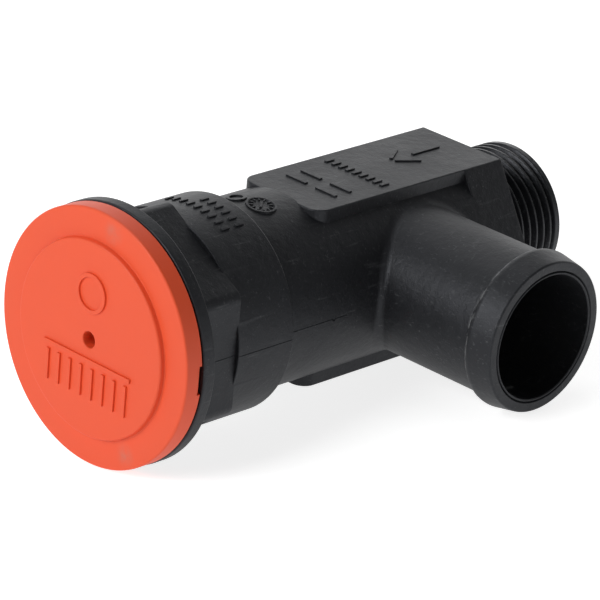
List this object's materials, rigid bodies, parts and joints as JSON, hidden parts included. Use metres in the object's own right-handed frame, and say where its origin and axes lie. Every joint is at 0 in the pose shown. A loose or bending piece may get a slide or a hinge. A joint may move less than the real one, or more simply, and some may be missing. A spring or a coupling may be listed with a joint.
{
  "type": "safety valve",
  "caption": "Spring-loaded safety valve with a male thread inlet, a hose tail at right angles, a flanged spring housing and a press-on cap.",
  "frame": {"origin": "centre of the inlet's seating face, where the male thread meets its tightening hexagon", "axes": "+X out of the inlet along the thread, -X towards the cap, -Y out of the hose tail, +Z out of the upper pad"},
  "size_m": [0.129, 0.0824, 0.057],
  "materials": {
    "black_nylon": "satin moulded, fine speckle",
    "orange_cap": "satin moulded",
    "stainless_seat": "turned",
    "nitrile_static": "matte",
    "circlip_steel": "phosphated",
    "brass_piston": "turned",
    "sealing_rubber": "matte",
    "washer_steel": "pressed",
    "screw_steel": "turned",
    "nitrile_sliding": "greased",
    "backup_plastic": "turned",
    "guide_plastic": "turned",
    "plate_steel_lower": "turned",
    "spring_steel": "drawn wire",
    "plate_steel_upper": "turned",
    "ball_steel": "polished",
    "adjuster_steel": "turned",
    "brass_bonnet": "turned",
    "washer_zinc": "zinc plated",
    "nut_zinc": "zinc plated",
    "retaining_steel": "phosphated"
  },
  "bodies": {
    "body": {"valve_body": "black_nylon", "seat_ring": "stainless_seat", "seat_o_ring": "nitrile_static", "seat_circlip": "circlip_steel", "bonnet_plate": "brass_bonnet", "retaining_ring": "retaining_steel", "spring": "spring_steel"},
    "poppet": {"piston": "brass_piston", "sealing_disc": "sealing_rubber", "disc_washer": "washer_steel", "disc_screw": "screw_steel", "piston_o_ring": "nitrile_sliding", "backup_ring": "backup_plastic", "guide_ring": "guide_plastic", "spring_plate_lower": "plate_steel_lower"},
    "upper_plate": {"spring_plate_upper": "plate_steel_upper", "thrust_ball": "ball_steel"},
    "adjuster": {"adjuster_screw": "adjuster_steel"},
    "nut_washer": {"lock_washer": "washer_zinc"},
    "nut": {"lock_nut": "nut_zinc"},
    "cap": {"cap": "orange_cap"}
  },
  "joints": [
    {"name": "valve_lift", "type": "slide", "parent": "body", "child": "poppet", "axis": [-1, 0, 0], "range_m": [0, 0.005], "stiffness_N_per_m": 3000, "deforming": ["spring"]},
    {"name": "adjuster_travel", "type": "slide", "parent": "body", "child": "upper_plate", "axis": [-1, 0, 0], "range_m": [0, 0.00225], "deforming": ["spring"]},
    {"name": "adjuster_turn", "type": "hinge", "parent": "upper_plate", "child": "adjuster", "pos_m": [-0.0914, 0, 0], "axis": [-1, 0, 0], "range_deg": [0, 540]},
    {"name": "lock_nut_travel", "type": "slide", "parent": "body", "child": "nut_washer", "axis": [-1, 0, 0], "range_m": [0, 0.0015]},
    {"name": "lock_nut_turn", "type": "hinge", "parent": "nut_washer", "child": "nut", "pos_m": [-0.1006, 0, 0], "axis": [-1, 0, 0], "range_deg": [0, 360]},
    {"name": "cap_pull", "type": "slide", "parent": "body", "child": "cap", "axis": [-1, 0, 0], "range_m": [0, 0.02]}
  ],
  "couplings": [
    {"joint": "adjuster_turn", "follows": "adjuster_travel", "rad_per_m": 4188.8},
    {"joint": "lock_nut_turn", "follows": "lock_nut_travel", "rad_per_m": 4188.8}
  ]
}
